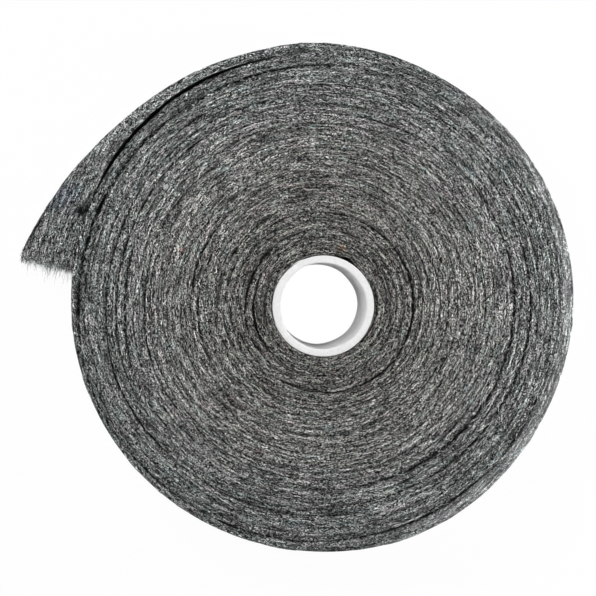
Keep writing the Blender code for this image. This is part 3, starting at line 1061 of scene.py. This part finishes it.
def white_board():
    """Pressed white board, with a soft tooth, specks, painted light in the bore, and a painted shadow on the
    lower edge.
    """
    finish = Finish("white_board", Roughness=0.8)
    x, y, radius, height = finish.place()
    tooth = finish.noise(finish.vector(x / 0.002, y / 0.002, height / 0.002), 4.0, 0.6)
    specks = finish.noise(finish.vector(x / 0.0008, y / 0.0008, height / 0.0008), 1.0)
    white = finish.band(tooth, (0.3, (0.79, 0.79, 0.78)), (0.5, (0.84, 0.84, 0.835)), (0.7, 0.88))
    # The bore's wall is painted whiter than the rest of the board: painted light, for light the lamps hardly
    # bring down it.
    from_tube = finish.vector(x - TUBE_STANDS_OFF[0], y - TUBE_STANDS_OFF[1], 0)
    from_tube = finish.node("ShaderNodeVectorMath", {"operation": "LENGTH"}, {0: from_tube}, "Value")
    inside = finish.band(from_tube / BORE_RADIUS, (0.98, 1), (1.03, 0))
    white = finish.mix("MIX", inside, white, (0.96, 0.96, 0.955, 1))
    spots = finish.band(specks, (0.22, (0.62, 0.60, 0.58)), (0.30, 1))
    # A painted shadow: the board turns grey towards its lower edge.
    painted_foot_shadow = finish.band(height / 0.003, (0.25, 0.22), (0.8, 1))
    colour = finish.times(finish.times(white, spots), painted_foot_shadow)
    finish.to_shader("Base Color", colour)
    finish.relief(0.35, 0.0003, tooth)
    return finish.material


# The studio

SEEING = ("Camera", "Glossy", "Transmission")


def seen(finish):
    """1 where something looks, and 0 for the light that falls on things."""
    rays = [finish.node("ShaderNodeLightPath", output=f"Is {kind} Ray") for kind in SEEING]
    return rays[0] + rays[1] + rays[2]


FLOOR_SIZE = 4.0
FLOOR_DROP = 0.0002
FLOOR_WHITE = 0.97


def floor():
    """A white floor with a faint shadow, plain white through the tube."""
    bpy.ops.mesh.primitive_plane_add(size=FLOOR_SIZE, location=(0, 0, -FLOOR_DROP))
    piece = bpy.context.object
    piece.name = "floor"
    finish = Finish("floor_white", Roughness=1.0)
    finish.feed(finish.shader.inputs["Base Color"], (0.9, 0.9, 0.9, 1))
    finish.feed(finish.shader.inputs["Specular IOR Level"], 0.0)
    x, y, radius, height = finish.place()
    through = radius.maths("LESS_THAN", radius, TUBE_RADIUS)
    share = seen(finish) * (FLOOR_WHITE + (1 - FLOOR_WHITE) * through)
    glow = finish.node("ShaderNodeEmission", None, {"Color": (1, 1, 1, 1), "Strength": 1.0})
    shader = Wire(finish, finish.shader.outputs[0])
    blend = finish.node("ShaderNodeMixShader", None, {0: share, 1: shader, 2: glow})
    finish.links.new(blend.socket, finish.nodes["Material Output"].inputs["Surface"])
    piece.data.materials.append(finish.material)


LAMP_AIM = (0, 0, 0.05)


def lamp(name, place, size, power):
    light = bpy.data.lights.new(name, "AREA")
    light.shape, light.size, light.size_y, light.energy = "RECTANGLE", *size, power
    holder = placed(name, light)
    holder.location = place
    holder.rotation_euler = (Vector(LAMP_AIM) - Vector(place)).to_track_quat("-Z", "Y").to_euler()


WORLD_LIGHT = 0.10
# Soft boxes: their place, size and power
LAMPS = {
    "right_softbox": ((0.42, 0.02, 0.30), (0.2, 0.2), 1.35),
    "left_softbox": ((-0.44, 0.18, 0.30), (0.2, 0.2), 0.45),
    "high_softbox": ((-0.26, 0.20, 0.75), (0.22, 0.22), 3.15),
    "front_left_softbox": ((-0.9, -0.9, 0.2), (0.7, 0.3), 3.2),
    "front_right_softbox": ((0.9, -0.9, 0.2), (0.7, 0.3), 3.2),
    "back_softbox": ((0.0, 1.3, 0.2), (0.7, 0.3), 4.2),
}


class Surroundings(Finish):
    """The world, white to look at, which lights things less."""

    def __init__(self, world):
        self.nodes, self.links = world.node_tree.nodes, world.node_tree.links


def studio():
    for name, (place, size, power) in LAMPS.items():
        lamp(name, place, size, power)
    world = bpy.data.worlds.new("studio")
    world.use_nodes = True
    bpy.context.scene.world = world
    around = Surroundings(world)
    around.feed(around.nodes["Background"].inputs["Color"], (1, 1, 1, 1))
    around.feed(around.nodes["Background"].inputs["Strength"], seen(around) * (1 - WORLD_LIGHT) + WORLD_LIGHT)


CAMERA_PLACE = (-0.025, 0.009, 1.139)
CAMERA_AIM = (0.0, 0.0, 0.1)
PHOTO_SIDE = 596
FOCAL_PIXELS = 1745


def camera():
    """Above the roll, a little left of its middle, with the photo's up along +Y."""
    lens = bpy.data.cameras.new("camera")
    lens.sensor_width = 36
    lens.lens = lens.sensor_width * FOCAL_PIXELS / PHOTO_SIDE
    holder = placed("camera", lens)
    holder.location = CAMERA_PLACE
    back = (Vector(CAMERA_PLACE) - Vector(CAMERA_AIM)).normalized()
    right = Vector((0, 1, 0)).cross(back).normalized()
    turned = Matrix((right, back.cross(right), back)).transposed()
    holder.rotation_euler = turned.to_euler()
    bpy.context.scene.camera = holder


# The range of fibres' lengths and widths
SHORT, LONG, ON_WALL = (0.0040, 0.0090), (0.009, 0.016), (0.006, 0.014)
SLIM, STOUT, STOUTEST = (0.00020, 0.00030), (0.00018, 0.00036), (0.0002, 0.0004)

# Fibres on the ends, and round the wall: piece, side, count, ways, lengths, widths, typical heading, wild
# share, and seed
END_FIBRES = (
    ("upper_fibres_a", UPPER, 49500, SHORT_WAYS, SHORT, STOUT, 0.32, 0.0, 101),
    ("upper_fibres_b", UPPER, 49500, SHORT_WAYS, SHORT, STOUT, 0.32, 0.0, 111),
    ("upper_long_fibres", UPPER, 5000, LONG_WAYS, LONG, SLIM, 0.15, 0.06, 121),
    ("lower_fibres", LOWER, 12000, SHORT_WAYS, SHORT, STOUT, 0.30, 0.0, 131),
)
WALL_FIBRES = (
    ("wall_fibres", 38000, SHORT_WAYS, ON_WALL, STOUTEST, 0.28, 0.0, 141),
    ("wall_long_fibres", 3500, LONG_WAYS, LONG, SLIM, 0.12, 0.08, 151),
)


def main():
    camera()
    studio()
    floor()
    wound_wool()
    fibre = bare_fibre("bare_fibre", 0.0)
    for *row, seed in END_FIBRES:
        end_fibres(*row, seed=seed, material=fibre)
    for *row, seed in WALL_FIBRES:
        wall_fibres(*row, seed=seed, material=fibre)
    tail_fibres("loose_end_upper_fibres", UPPER, 11000, 161, fibre)
    tail_fibres("loose_end_lower_fibres", LOWER, 3000, 171, fibre)
    # The frayed fibres' finish is painted paler: painted light on fibres that lie in shade at the cut end.
    frayed_end("frayed_fibres", 3600, 181, bare_fibre("frayed_fibre", 0.16))
    board_tube()
    bpy.context.scene.view_settings.view_transform = "Standard"


main()
